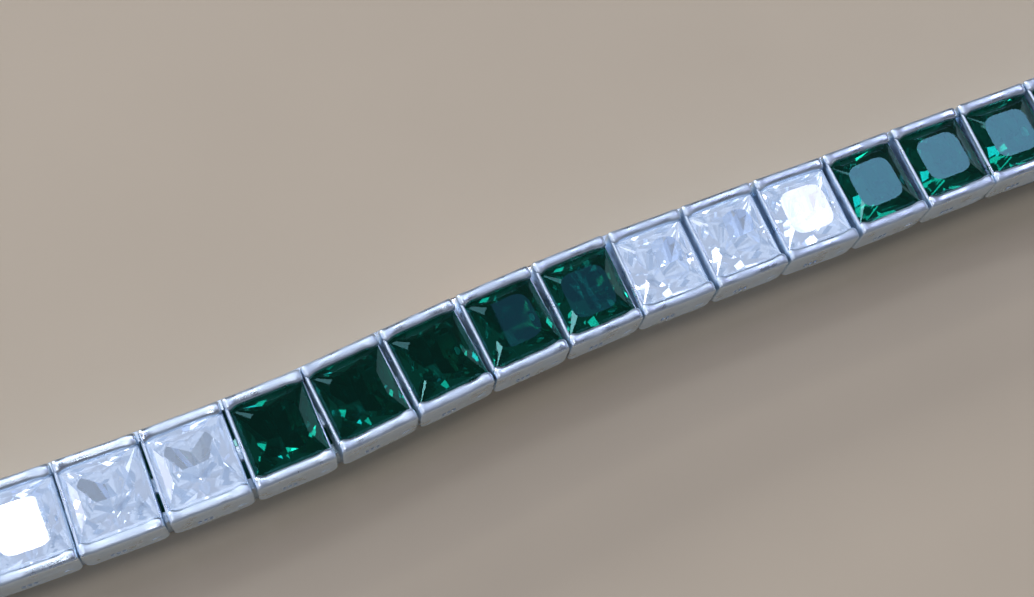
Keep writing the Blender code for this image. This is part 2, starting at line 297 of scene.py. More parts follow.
class BraceletValues(bpy.types.PropertyGroup):
    """All of the bracelet's values."""

    setting: bpy.props.PointerProperty(type=BraceletSetting)
    stone: bpy.props.PointerProperty(type=BraceletStone)
    metal: bpy.props.PointerProperty(type=BraceletMetal)
    stage: bpy.props.PointerProperty(type=BraceletStage)


# Mesh tools


def add_object(name, mesh):
    thing = bpy.data.objects.new(name, mesh)
    bpy.context.scene.collection.objects.link(thing)
    return thing


def add_solid(name, verts, faces):
    """A mesh object with its faces turned outwards."""
    mesh = bpy.data.meshes.new(name)
    mesh.from_pydata(verts, [], faces)
    work = bmesh.new()
    work.from_mesh(mesh)
    bmesh.ops.recalc_face_normals(work, faces=work.faces)
    work.to_mesh(mesh)
    work.free()
    return add_object(name, mesh)


def loft(name, rings):
    """A closed solid through rings of equal length, with its first and last ring filled."""
    count = len(rings[0])
    verts = [tuple(point) for ring in rings for point in ring]
    faces = [tuple(range(count)), tuple(range(len(verts) - count, len(verts)))]
    for row in range(len(rings) - 1):
        start = row * count
        for i in range(count):
            j = (i + 1) % count
            faces.append((start + i, start + j, start + count + j, start + count + i))
    return add_solid(name, verts, faces)


def evaluated_mesh(thing):
    """The object's mesh with its modifiers applied."""
    bpy.context.view_layer.update()
    return bpy.data.meshes.new_from_object(thing.evaluated_get(bpy.context.evaluated_depsgraph_get()))


def cut(thing, cutter):
    modifier = thing.modifiers.new("cut", "BOOLEAN")
    modifier.operation = "DIFFERENCE"
    modifier.solver = "EXACT"
    modifier.object = cutter
    thing.data = evaluated_mesh(thing)
    thing.modifiers.clear()
    bpy.data.objects.remove(cutter, do_unlink=True)


def join(name, things):
    """One mesh object from several, smooth but for its sharp edges."""
    work = bmesh.new()
    for thing in things:
        work.from_mesh(thing.data)
        bpy.data.objects.remove(thing, do_unlink=True)
    mesh = bpy.data.meshes.new(name)
    work.to_mesh(mesh)
    work.free()
    mesh.shade_smooth()
    mesh.set_sharp_from_angle(angle=SHARP_ANGLE)
    return add_object(name, mesh)


def rounded_rectangle(low, high, ease, steps):
    """Points round a rectangle with eased corners, from its low to its high corner."""
    outline = []
    for side_a, side_b in ((1, 1), (-1, 1), (-1, -1), (1, -1)):
        middle_a = high[0] - ease if side_a > 0 else low[0] + ease
        middle_b = high[1] - ease if side_b > 0 else low[1] + ease
        for step in (range(steps + 1) if side_a * side_b > 0 else range(steps, -1, -1)):
            turn = math.pi / 2 * step / steps
            a = middle_a + side_a * ease * math.cos(turn)
            b = middle_b + side_b * ease * math.sin(turn)
            outline.append((a, b))
    return outline


def disc_ring(x, y, z, radius, sides):
    """A circle about the y axis."""
    ring = []
    for i in range(sides):
        angle = 2 * math.pi * i / sides
        ring.append((x + radius * math.cos(angle), y, z + radius * math.sin(angle)))
    return ring


# One link's setting, in its own frame: x from its near end, y across, z from its back

# Places along a wall near its drawn-out end, in millimetres from that end
NEAR_STATIONS = (0.0, 0.02, 0.05, 0.10, 0.15, 0.20, 0.25, 0.30, 0.35)
WALL_STATIONS = 22
BAR_STATIONS = 9
# Where a rail is burnished down over the stone: the bump's middle from its end of the link, and its spread
NEAR_BUMP = (0.22 * MM, 0.24 * MM)
FAR_BUMP = (0.35 * MM, 0.30 * MM)
FAR_BUMP_SHARE = 0.6
# At a rail's rounded end: how far it draws in and how far it drops, as shares of the round's own drop
END_DRAWS_IN = 0.3
END_DROPS = 0.9
# How far a rail rises where it widens, as a share of the widening
RAIL_RISE = 0.4
# Rows of points up a wall's outer face, as shares of the way to the rail's rounded top
WALL_ROWS = (0.35, 0.7)
RAIL_STEPS = 10
BAR_STEPS = 7
WINDOWS_PER_WALL = 3
WINDOW_GAP = 0.10 * MM
# Each window's cut from outside in: depth from the wall's outer face, and how far it reaches below the
# sill and above the lintel
WINDOW_CUT = ((-0.05 * MM, 0.095 * MM, 0.03 * MM), (0.14 * MM, 0.0, 0.0), (1.0 * MM, 0.0, 0.0))
PIN_SIDES = 20
# Where the pin meets its heads, as a share of half the link's width
PIN_REACH = 0.98
PIN_HEAD_SHARE = 1.5
PIN_PROUD = 0.045 * MM
# A pin head's outline from its middle out: shares of its radius and of how proud it stands
PIN_HEAD = ((0.35, 1.0), (0.75, 0.85), (1.0, 0.45), (1.0, -0.2))
EYE_SIDES = 28
TONGUE_ROUND = 0.06 * MM


def back_height(x, length, sizes):
    """How high a wall's lower edge is: bevelled at the near end, round about the pin at the far end."""
    past = x - (length - sizes.knuckle)
    if x < sizes.back_bevel:
        return sizes.back_bevel - x
    if past > 0:
        return sizes.hinge_height - math.sqrt(max(0.0, sizes.knuckle ** 2 - past ** 2))
    return 0.0


def end_drop(x, length, radius):
    """How far a rounded end has dropped at a place along a piece that runs from 0 to its length."""
    into = radius - min(x, length - x)
    if into <= 0:
        return 0.0
    return radius - math.sqrt(max(0.0, radius ** 2 - into ** 2))


def knuckle_stations(length, sizes):
    """Places along the round far end, evenly turned about its pin."""
    turns = [math.radians(turn) for turn in range(10, 91, 10)]
    return [length - sizes.knuckle + sizes.knuckle * math.sin(turn) for turn in turns]


def wall_stations(length, sizes):
    """Places along a wall, close together at its ends."""
    places = [place * MM - sizes.lap for place in NEAR_STATIONS]
    places += list(np.linspace(sizes.back_bevel, length - sizes.knuckle, WALL_STATIONS))
    return places + knuckle_stations(length, sizes)


def rail_swell(x, length):
    """How far a rail is burnished down over the stone at a place along it."""
    near = math.exp(-((x - NEAR_BUMP[0]) / NEAR_BUMP[1]) ** 2)
    far = math.exp(-((length - x - FAR_BUMP[0]) / FAR_BUMP[1]) ** 2)
    return near + FAR_BUMP_SHARE * far


def wall_ring(x, side, sizes, rail_low):
    """Cross-section of one side wall with its rounded rail."""
    length = sizes.length
    drop = end_drop(x + sizes.lap, length + sizes.lap, sizes.rail_end)
    swell = rail_swell(x, length)
    low = back_height(x, length, sizes)
    outer = sizes.width / 2 - END_DRAWS_IN * drop
    inner = sizes.width / 2 - sizes.rail_width - sizes.rail_wave * swell + END_DRAWS_IN * drop
    wall_in = sizes.width / 2 - sizes.wall
    top = sizes.height - END_DROPS * drop + RAIL_RISE * sizes.rail_wave * (swell - 0.5)
    shoulder = top - sizes.rail_round
    ring = [(outer - EDGE_ROUND, low), (outer, low + EDGE_ROUND)]
    for share in WALL_ROWS:
        ring.append((outer, low + share * (shoulder - low)))
    for step in range(RAIL_STEPS + 1):
        turn = math.pi * step / RAIL_STEPS
        out = math.copysign(abs(math.cos(turn)) ** sizes.rail_flat, math.cos(turn))
        across = (outer + inner) / 2 + (outer - inner) / 2 * out
        ring.append((across, shoulder + sizes.rail_round * math.sin(turn) ** sizes.rail_flat))
    ring += [(inner, rail_low), (wall_in, rail_low - EDGE_ROUND)]
    ring += [(wall_in, (rail_low + low) / 2), (wall_in, low)]
    return [(x, side * across, z) for across, z in ring]


def window_cutters(side, sizes):
    """Small openings in a row through a side wall, each with a sloping sill at its outer face."""
    pitch = sizes.window_length / WINDOWS_PER_WALL
    half = (pitch - WINDOW_GAP) / 2
    cutters = []
    for place in range(WINDOWS_PER_WALL):
        middle = sizes.window_place * sizes.length + (place - (WINDOWS_PER_WALL - 1) / 2) * pitch
        rings = []
        for depth, sill, lintel in WINDOW_CUT:
            across = side * (sizes.width / 2 - depth)
            low = (middle - half, sizes.window_low - sill)
            high = (middle + half, sizes.window_low + sizes.window_height + lintel)
            rings.append([(x, across, z) for x, z in rounded_rectangle(low, high, EDGE_ROUND, 3)])
        cutters.append(loft("window", rings))
    return cutters


def make_wall(side, sizes, rail_low):
    wall = loft("wall", [wall_ring(x, side, sizes, rail_low) for x in wall_stations(sizes.length, sizes)])
    for cutter in window_cutters(side, sizes):
        cut(wall, cutter)
    return wall


def make_bar(start, low, top, sizes):
    """An end bar across the link with a rounded top."""
    reach = sizes.width / 2 - sizes.wall / 2
    radius = sizes.bar / 2
    outline = [(start, low), (start, top - radius)]
    for step in range(1, BAR_STEPS):
        turn = math.pi * (1 - step / BAR_STEPS)
        outline.append((start + radius + radius * math.cos(turn), top - radius + radius * math.sin(turn)))
    outline += [(start + sizes.bar, top - radius), (start + sizes.bar, low)]
    rings = [[(x, across, z) for x, z in outline] for across in np.linspace(-reach, reach, BAR_STATIONS)]
    return loft("bar", rings)


def make_pin(hinge_x, sizes):
    """The hinge pin, with low domed heads on the outside of both walls."""
    outer = sizes.width / 2
    height = sizes.hinge_height
    head = [(PIN_HEAD_SHARE * sizes.pin * share, outer + PIN_PROUD * rise) for share, rise in PIN_HEAD]
    rings = [disc_ring(hinge_x, -across, height, radius, PIN_SIDES) for radius, across in head]
    for share in (-PIN_REACH, 0.0, PIN_REACH):
        rings.append(disc_ring(hinge_x, share * outer, height, sizes.pin, PIN_SIDES))
    rings += [disc_ring(hinge_x, across, height, radius, PIN_SIDES) for radius, across in head[::-1]]
    return loft("pin", rings)


def make_eye(hinge_x, sizes):
    """The tongue's eye as a turned ring with eased edges."""
    half = sizes.tongue / 2
    section = [
        (sizes.eye_hole, -half),
        (sizes.eye - EDGE_ROUND, -half),
        (sizes.eye, EDGE_ROUND - half),
        (sizes.eye, half - EDGE_ROUND),
        (sizes.eye - EDGE_ROUND, half),
        (sizes.eye_hole, half),
    ]
    count = len(section)
    verts = []
    faces = []
    for step in range(EYE_SIDES):
        turn = 2 * math.pi * step / EYE_SIDES
        for radius, across in section:
            height = sizes.hinge_height + radius * math.sin(turn)
            verts.append((hinge_x + radius * math.cos(turn), across, height))
        after = (step + 1) % EYE_SIDES
        for i in range(count):
            j = (i + 1) % count
            faces.append((step * count + i, step * count + j, after * count + j, after * count + i))
    return add_solid("eye", verts, faces)


def make_tongue(sizes):
    """The bar from the near end to the eye on the pin of the link behind."""
    hinge_x = -sizes.gap - sizes.knuckle
    half = sizes.tongue / 2
    thick = sizes.tongue_thick / 2
    start = hinge_x + (sizes.eye_hole + sizes.eye) / 2
    outline = rounded_rectangle((-half, -thick), (half, thick), TONGUE_ROUND, 1)
    rings = [[(x, y, sizes.hinge_height + z) for y, z in outline] for x in (start, sizes.bar / 2)]
    return [loft("tongue", rings), make_eye(hinge_x, sizes)]


def girdle_heights(sizes, stone):
    """Heights of the girdle's upper and lower edge above a link's back."""
    top = sizes.height - stone.below_rail - stone.crown
    return top, top - stone.girdle


def make_setting(sizes, stone):
    """One channel setting: two walls with rails, near and far bar, pin and tongue."""
    girdle_top, girdle_low = girdle_heights(sizes, stone)
    rail_low = (girdle_top + girdle_low) / 2
    hinge_x = sizes.length - sizes.knuckle
    slot_top = sizes.hinge_height + sizes.eye + SLOT_CLEARANCE
    things = [make_wall(side, sizes, rail_low) for side in (1, -1)]
    things.append(make_bar(-sizes.lap, sizes.back_bevel, sizes.height - sizes.bar_below_rail, sizes))
    things.append(make_bar(sizes.length - sizes.bar, slot_top, girdle_low, sizes))
    things.append(make_pin(hinge_x, sizes))
    things += make_tongue(sizes)
    return join("setting", things)


# One stone, cut facet by facet

# Points this close to a facet's plane count as lying on it
CUT_TOLERANCE = 0.0002 * MM


def cut_facet(work, normal, distance):
    """Cut away what lies beyond a plane and close the cut with one facet."""
    normal = Vector(normal).normalized()
    result = bmesh.ops.bisect_plane(
        work,
        geom=work.verts[:] + work.edges[:] + work.faces[:],
        dist=CUT_TOLERANCE,
        plane_co=normal * distance,
        plane_no=normal,
        clear_outer=True,
    )
    edges = [item for item in result["geom_cut"] if isinstance(item, bmesh.types.BMEdge)]
    edges = [edge for edge in edges if edge.is_boundary]
    if edges:
        bmesh.ops.contextual_create(work, geom=edges)


def cushion_reach(turn, half, power):
    """How far a square with bowed sides and rounded corners reaches in a direction."""
    return half * (abs(math.cos(turn)) ** power + abs(math.sin(turn)) ** power) ** (1 / power)


# Pavilion facets from girdle to culet: depth below the girdle at the middle of a side, and at the
# middle of the stone, as shares of the pavilion's depth
CHEVRONS = ((0.08, 1.93), (0.19, 1.31), (0.30, 1.106), (0.50, 1.0))


def make_stone(sizes, stone):
    """Square brilliant: cushion-shaped table, a ring of crown facets, and a pavilion of chevrons."""
    girdle_top, girdle_low = girdle_heights(sizes, stone)
    half = stone.width / 2
    depth = girdle_low - stone.culet
    work = bmesh.new()
    bmesh.ops.create_cube(work, size=2 * half)
    for vertex in work.verts:
        vertex.co.z *= 2
    cut_facet(work, (0, 0, 1), stone.crown)

    for step in range(stone.crown_facets):
        turn = 2 * math.pi * step / stone.crown_facets
        inner = cushion_reach(turn, half * stone.table, stone.table_power)
        outer = half * (abs(math.cos(turn)) + abs(math.sin(turn)))
        run = (outer - inner) / stone.crown
        normal = Vector((math.cos(turn), math.sin(turn), run)).normalized()
        edge = Vector((math.cos(turn) * inner, math.sin(turn) * inner, stone.crown))
        cut_facet(work, normal, normal.dot(edge))

    for side_depth, middle_depth in CHEVRONS:
        swing = math.atan2(side_depth, middle_depth - side_depth)
        steep = depth * math.hypot(side_depth, middle_depth - side_depth) / half
        # A facet that faces a corner is its own mirror image, so one does for both sides
        signs = (1,) if middle_depth == 2 * side_depth else (1, -1)
        for quarter in range(4):
            for sign in signs:
                turn = math.pi / 2 * quarter + sign * swing
                normal = Vector((math.cos(turn) * steep, math.sin(turn) * steep, -1)).normalized()
                cut_facet(work, normal, normal.dot(Vector((0, 0, -stone.girdle - depth * middle_depth))))
    bmesh.ops.recalc_face_normals(work, faces=work.faces)
    bmesh.ops.translate(work, verts=work.verts, vec=Vector((sizes.length / 2, 0, girdle_top)))
    mesh = bpy.data.meshes.new("stone")
    work.to_mesh(mesh)
    work.free()
    return add_object("stone", mesh)


# The clasp's case, in the same kind of frame as a link

CASE_PITCHES = 2
# The case is smoother than the links: its share of their ripple
CASE_RIPPLE = 0.4
# Places along the case in millimetres: from its near end, about its seam, and where the rest begins
CASE_NEAR = (0.0, 0.02, 0.05, 0.1, 0.15, 0.2)
CASE_SEAM = (-0.04, -0.02, 0.02, 0.04)
CASE_AFTER_SEAM = 0.4
CASE_STATIONS = 14
CASE_ROUND = 0.14 * MM
CASE_END_ROUND = 0.15 * MM
SEAM_SHARE = 0.2
SEAM_DEPTH = 0.03 * MM
SEAM_HALF_WIDTH = 0.03 * MM


def case_stations(length, sizes):
    """Places along the clasp, close together at its ends and at its seam."""
    seam = length * SEAM_SHARE
    places = [place * MM for place in CASE_NEAR] + [sizes.back_bevel]
    places += [seam + place * MM for place in CASE_SEAM]
    places += list(np.linspace(seam + CASE_AFTER_SEAM * MM, length - sizes.knuckle, CASE_STATIONS))
    return places + knuckle_stations(length, sizes)


def case_ring(x, length, sizes):
    """Cross-section of the clasp's case: a rectangle with eased corners and a fine seam near one end."""
    drop = 0.5 * end_drop(x, length, CASE_END_ROUND)
    seam = SEAM_DEPTH if abs(x - length * SEAM_SHARE) < SEAM_HALF_WIDTH else 0.0
    half = sizes.width / 2 - drop - seam
    low = (-half, back_height(x, length, sizes) + seam)
    high = (half, sizes.height - drop - seam)
    return [(x, y, z) for y, z in rounded_rectangle(low, high, CASE_ROUND, 4)]


def case_slot(length, sizes):
    """The slot at the clasp's far end that takes the next link's tongue."""
    half = sizes.tongue / 2 + SLOT_SIDE_CLEARANCE
    start = length - sizes.knuckle - sizes.eye - SLOT_CLEARANCE
    end = length + MM
    top = sizes.hinge_height + sizes.eye + SLOT_CLEARANCE
    rings = [[(start, y, -MM), (end, y, -MM), (end, y, top), (start, y, top)] for y in (-half, half)]
    return loft("slot", rings)


def make_clasp(length, sizes):
    """The clasp's case with the same pin and tongue as a link."""
    case = loft("case", [case_ring(x, length, sizes) for x in case_stations(length, sizes)])
    cut(case, case_slot(length, sizes))
    return join("clasp_piece", [case, make_pin(length - sizes.knuckle, sizes), *make_tongue(sizes)])


# Geometry Nodes


def add_node(tree, kind, **values):
    """A new node with the given properties."""
    made = tree.nodes.new(kind)
    for name, value in values.items():
        setattr(made, name, value)
    return made


def placing_tree():
    """A tree that puts a piece on each point, turned as the point's axes say, and ripples its surface."""
    tree = bpy.data.node_groups.new("Pieces round the loop", "GeometryNodeTree")
    sockets = tree.interface
    sockets.new_socket(name="Geometry", in_out="INPUT", socket_type="NodeSocketGeometry")
    sockets.new_socket(name="Piece", in_out="INPUT", socket_type="NodeSocketObject")
    sockets.new_socket(name="Wobble", in_out="INPUT", socket_type="NodeSocketFloat")
    sockets.new_socket(name="Ripple", in_out="INPUT", socket_type="NodeSocketFloat")
    sockets.new_socket(name="Ripples per metre", in_out="INPUT", socket_type="NodeSocketFloat")
    sockets.new_socket(name="Seed", in_out="INPUT", socket_type="NodeSocketInt")
    sockets.new_socket(name="Material", in_out="INPUT", socket_type="NodeSocketMaterial")
    sockets.new_socket(name="Geometry", in_out="OUTPUT", socket_type="NodeSocketGeometry")
    link = tree.links.new

    given = add_node(tree, "NodeGroupInput")
    x_axis = add_node(tree, "GeometryNodeInputNamedAttribute", data_type="FLOAT_VECTOR")
    x_axis.inputs["Name"].default_value = "x_axis"
    z_axis = add_node(tree, "GeometryNodeInputNamedAttribute", data_type="FLOAT_VECTOR")
    z_axis.inputs["Name"].default_value = "z_axis"
    axes = add_node(tree, "FunctionNodeAxesToRotation", primary_axis="X", secondary_axis="Z")
    link(x_axis.outputs["Attribute"], axes.inputs[0])
    link(z_axis.outputs["Attribute"], axes.inputs[1])

    negative = add_node(tree, "ShaderNodeMath", operation="MULTIPLY")
    negative.inputs[1].default_value = -1.0
    link(given.outputs["Wobble"], negative.inputs[0])
    random = add_node(tree, "FunctionNodeRandomValue", data_type="FLOAT_VECTOR")
    link(negative.outputs[0], random.inputs[0])
    link(given.outputs["Wobble"], random.inputs[1])
    link(given.outputs["Seed"], random.inputs["Seed"])
    turn = add_node(tree, "FunctionNodeEulerToRotation")
    link(random.outputs[0], turn.inputs[0])
    seated = add_node(tree, "FunctionNodeRotateRotation", rotation_space="LOCAL")
    link(axes.outputs[0], seated.inputs[0])
    link(turn.outputs[0], seated.inputs[1])

    piece = add_node(tree, "GeometryNodeObjectInfo")
    link(given.outputs["Piece"], piece.inputs["Object"])
    placed = add_node(tree, "GeometryNodeInstanceOnPoints")
    link(given.outputs["Geometry"], placed.inputs["Points"])
    link(piece.outputs["Geometry"], placed.inputs["Instance"])
    link(seated.outputs[0], placed.inputs["Rotation"])

    real = add_node(tree, "GeometryNodeRealizeInstances")
    link(placed.outputs[0], real.inputs[0])
    noise = add_node(tree, "ShaderNodeTexNoise")
    noise.inputs["Detail"].default_value = 1.0
    link(given.outputs["Ripples per metre"], noise.inputs["Scale"])
    centred = add_node(tree, "ShaderNodeVectorMath", operation="SUBTRACT")
    centred.inputs[1].default_value = (0.5, 0.5, 0.5)
    link(noise.outputs["Color"], centred.inputs[0])
    scaled = add_node(tree, "ShaderNodeVectorMath", operation="SCALE")
    link(centred.outputs[0], scaled.inputs[0])
    link(given.outputs["Ripple"], scaled.inputs["Scale"])
    moved = add_node(tree, "GeometryNodeSetPosition")
    link(real.outputs[0], moved.inputs["Geometry"])
    link(scaled.outputs[0], moved.inputs["Offset"])
    finish = add_node(tree, "GeometryNodeSetMaterial")
    link(moved.outputs[0], finish.inputs["Geometry"])
    link(given.outputs["Material"], finish.inputs["Material"])
    result = add_node(tree, "NodeGroupOutput")
    link(finish.outputs[0], result.inputs[0])
    return tree


def place_pieces(name, piece, nodes, length, material, seed=0, wobble=0.0, ripple=0.0):
    """Put a piece on each of the named links and turn the result into one plain mesh."""
    measured = [measure_piece(node, length) for node in nodes]
    points = bpy.data.meshes.new(name)
    points.from_pydata([place["origin"] for place in measured], [], [])
    for axis in ("x", "z"):
        values = points.attributes.new(f"{axis}_axis", "FLOAT_VECTOR", "POINT")
        for item, place in zip(values.data, measured):
            item.vector = place[axis]
    thing = add_object(name, points)
    tree = bpy.data.node_groups.get("Pieces round the loop") or placing_tree()
    modifier = thing.modifiers.new("Placed", "NODES")
    modifier.node_group = tree
    wanted = {
        "Piece": piece,
        "Wobble": wobble,
        "Ripple": ripple,
        "Ripples per metre": RIPPLES_PER_METRE,
        "Seed": seed,
        "Material": material,
    }
    for item in tree.interface.items_tree:
        if item.in_out == "INPUT" and item.name in wanted:
            modifier[item.identifier] = wanted[item.name]
    thing.data = evaluated_mesh(thing)
    thing.modifiers.clear()
    thing.data.name = name
    bpy.data.objects.remove(piece, do_unlink=True)
    return thing


def hand_over(thing, nodes):
    """Put the finished piece on the body it rides on and hide the imported parts it stands for."""
    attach(thing, BODY)
    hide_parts(*nodes)


# Materials


def value_group(name, inputs, outputs):
    """An empty shader group with named sockets."""
    group = bpy.data.node_groups.new(name, "ShaderNodeTree")
    for label, kind, default in inputs:
        made = group.interface.new_socket(name=label, in_out="INPUT", socket_type=kind)
        made.default_value = default
    for label, kind in outputs:
        group.interface.new_socket(name=label, in_out="OUTPUT", socket_type=kind)
    return group, add_node(group, "NodeGroupInput"), add_node(group, "NodeGroupOutput")


def handling_group():
    """Wear from handling: cloudy patches and fine crossing scratches, as a mask and a height."""
    group, given, result = value_group(
        "Handling wear",
        [("Patch size", "NodeSocketFloat", 900.0), ("Scratch size", "NodeSocketFloat", 3500.0)],
        [("Patches", "NodeSocketFloat"), ("Scratches", "NodeSocketFloat")],
    )
    link = group.links.new
    place = add_node(group, "ShaderNodeTexCoord")
    patches = add_node(group, "ShaderNodeTexNoise")
    patches.inputs["Detail"].default_value = 3.0
    link(place.outputs["Object"], patches.inputs["Vector"])
    link(given.outputs["Patch size"], patches.inputs["Scale"])
    link(patches.outputs["Fac"], result.inputs["Patches"])
    stretched = add_node(group, "ShaderNodeMapping")
    stretched.inputs["Scale"].default_value = (1.0, 9.0, 2.0)
    stretched.inputs["Rotation"].default_value = (0.0, 0.0, 0.5)
    link(place.outputs["Object"], stretched.inputs["Vector"])
    scratches = add_node(group, "ShaderNodeTexNoise")
    scratches.inputs["Detail"].default_value = 2.0
    link(stretched.outputs[0], scratches.inputs["Vector"])
    link(given.outputs["Scratch size"], scratches.inputs["Scale"])
    link(scratches.outputs["Fac"], result.inputs["Scratches"])
    return group


def shader_of(name):
    """A new material with its tree and its shader."""
    material = bpy.data.materials.new(name)
    material.use_nodes = True
    return material, material.node_tree, material.node_tree.nodes["Principled BSDF"]


def spread(tree, source, low, high):
    """Map a mask's middle range to two values."""
    ranged = add_node(tree, "ShaderNodeMapRange")
    ranged.inputs["From Min"].default_value = 0.35
    ranged.inputs["From Max"].default_value = 0.65
    ranged.inputs["To Min"].default_value = low
    ranged.inputs["To Max"].default_value = high
    tree.links.new(source, ranged.inputs["Value"])
    return ranged.outputs[0]


def wear_node(tree):
    """The handling wear, which all materials share, as a node of one of them."""
    group = bpy.data.node_groups.get("Handling wear") or handling_group()
    return add_node(tree, "ShaderNodeGroup", node_tree=group)


def uneven_colour(tree, shader, wear, colour, share):
    """Colour a surface, with patches that have only a share of the colour."""
    tint = add_node(tree, "ShaderNodeMix", data_type="RGBA")
    tint.inputs["A"].default_value = (*colour, 1.0)
    tint.inputs["B"].default_value = (*[share * part for part in colour], 1.0)
    tree.links.new(spread(tree, wear.outputs["Patches"], 0.0, 1.0), tint.inputs["Factor"])
    tree.links.new(tint.outputs["Result"], shader.inputs["Base Color"])


def metal_material(metal):
    """Polished rhodium over silver, with handling haze and hairline scratches."""
    material, tree, shader = shader_of("rhodium_silver")
    wear = wear_node(tree)
    shader.inputs["Metallic"].default_value = 1.0
    rough = spread(tree, wear.outputs["Patches"], metal.roughness * 0.7, metal.roughness * 1.6)
    tree.links.new(rough, shader.inputs["Roughness"])
    uneven_colour(tree, shader, wear, metal.colour, share=0.93)
    bump = add_node(tree, "ShaderNodeBump")
    bump.inputs["Strength"].default_value = 0.25
    bump.inputs["Distance"].default_value = 0.004 * MM
    tree.links.new(wear.outputs["Scratches"], bump.inputs["Height"])
    tree.links.new(bump.outputs[0], shader.inputs["Normal"])
    return material


def stone_material(name, colour, mirror, index, clearness, painted_glow):
    """Clear faceted stone with a faint unevenness of colour inside, and painted light: a steady glow in its
    colour that lightens it whatever lights it.
    """
    material, tree, shader = shader_of(name)
    wear = wear_node(tree)
    wear.inputs["Patch size"].default_value = 400.0
    shader.inputs["Transmission Weight"].default_value = clearness
    shader.inputs["IOR"].default_value = index
    shader.inputs["Specular Tint"].default_value = (*mirror, 1.0)
    # Painted light: the stone glows steadily in its own colour, which lightens it whatever the lamps do.
    shader.inputs["Emission Color"].default_value = (*colour, 1.0)
    shader.inputs["Emission Strength"].default_value = painted_glow
    uneven_colour(tree, shader, wear, colour, share=0.9)
    tree.links.new(spread(tree, wear.outputs["Scratches"], 0.0, 0.03), shader.inputs["Roughness"])
    return material


def floor_material(colour):
    """Matt pale paper."""
    material, tree, shader = shader_of("pale_floor")
    wear = wear_node(tree)
    wear.inputs["Patch size"].default_value = 60.0
    uneven_colour(tree, shader, wear, colour, share=0.97)
    shader.inputs["Roughness"].default_value = 0.85
    return material


# Floor, camera and light

FLOOR_REACH = 1.5
FLOOR_BELOW = 0.002 * MM
SENSOR_WIDTH = 36.0


def place_camera(context, stage):
    """The camera at the photograph's angle to the bracelet."""
    forward = Vector((
        math.cos(stage.elevation) * math.sin(stage.azimuth),
        math.cos(stage.elevation) * math.cos(stage.azimuth),
        -math.sin(stage.elevation),
    ))
    level = Vector((math.cos(stage.azimuth), -math.sin(stage.azimuth), 0))
    above = level.cross(forward)
    right = math.cos(stage.roll) * level + math.sin(stage.roll) * above
    up = math.cos(stage.roll) * above - math.sin(stage.roll) * level
    data = bpy.data.cameras.new("camera")
    data.sensor_width = SENSOR_WIDTH
    data.lens = stage.focal
    data.clip_start = MM
    camera = bpy.data.objects.new("camera", data)
    context.scene.collection.objects.link(camera)
    turned = Matrix((right, up, -forward)).transposed().to_4x4()
    camera.matrix_world = Matrix.Translation(Vector(stage.target) - forward * stage.distance) @ turned
    context.scene.camera = camera


# Soft panels in one level sheet overhead: the low and high slopes x/z and y/z that each fills as
# seen from the bracelet, and its radiance
PANELS = (
    ("window_panel", (0.49, 0.16), (0.735, 0.37), (4.2, 4.0, 6.2)),
    ("strip_panel", (0.448, 0.16), (0.49, 0.37), (3.6, 3.8, 4.2)),
    ("end_lamp", (-0.067, 0.19), (-0.022, 0.26), (9.0, 9.0, 9.0)),
    ("mid_panel", (-0.19, 0.32), (0.02, 0.47), (3.0, 3.0, 3.4)),
    ("faint_panel", (0.235, 0.20), (0.325, 0.33), (0.28, 0.4, 0.85)),
    ("rail_panel", (-0.1, 0.46), (0.75, 0.64), (2.8, 3.0, 3.5)),
    ("top_panel", (-0.50, -0.12), (-0.23, 0.11), (9.4, 9.1, 9.8)),
    ("left_back_panel", (-0.6, 0.55), (-0.1, 1.2), (2.3, 2.3, 2.7)),
    ("back_panel", (-3.0, 1.75), (-0.8, 3.0), (12.0, 11.8, 12.5)),
    ("far_left_panel", (-4.0, -1.0), (-1.8, 1.0), (2.0, 1.95, 2.3)),
    ("far_right_panel", (1.8, -1.0), (4.0, 1.0), (0.8, 0.8, 0.9)),
    ("front_panel", (-1.2, -2.4), (1.2, -1.1), (0.2, 0.2, 0.22)),
)
PANEL_HEIGHT = 0.6
LAMPS = (
    ("left_lamp", (-1.0, 1.1), (60.0, 58.0, 56.0)),
    ("right_lamp", (1.3, -0.7), (16.0, 15.6, 15.0)),
)
LAMP_SPREAD = 0.06
ROOM_LIGHT = (0.11, 0.11, 0.13)


def add_panel(context, name, low, high, radiance):
    """A rectangular area light in the overhead sheet that shows the given radiance."""
    width, depth = [(high[axis] - low[axis]) * PANEL_HEIGHT for axis in range(2)]
    strongest = max(radiance)
    data = bpy.data.lights.new(name, "AREA")
    data.shape = "RECTANGLE"
    data.size = width
    data.size_y = depth
    data.color = [part / strongest for part in radiance]
    data.energy = strongest * math.pi * width * depth
    light = bpy.data.objects.new(name, data)
    light.location = [(low[axis] + high[axis]) / 2 * PANEL_HEIGHT for axis in range(2)] + [PANEL_HEIGHT]
    context.scene.collection.objects.link(light)


def light_stage(context):
    """A dim room with soft panels and two small lamps overhead."""
    world = bpy.data.worlds.new("room")
    context.scene.world = world
    world.use_nodes = True
    world.node_tree.nodes["Background"].inputs["Color"].default_value = (*ROOM_LIGHT, 1.0)
    for name, low, high, radiance in PANELS:
        add_panel(context, name, low, high, radiance)
    for name, middle, radiance in LAMPS:
        low = [part - LAMP_SPREAD for part in middle]
        high = [part + LAMP_SPREAD for part in middle]
        add_panel(context, name, low, high, radiance)


# Operators


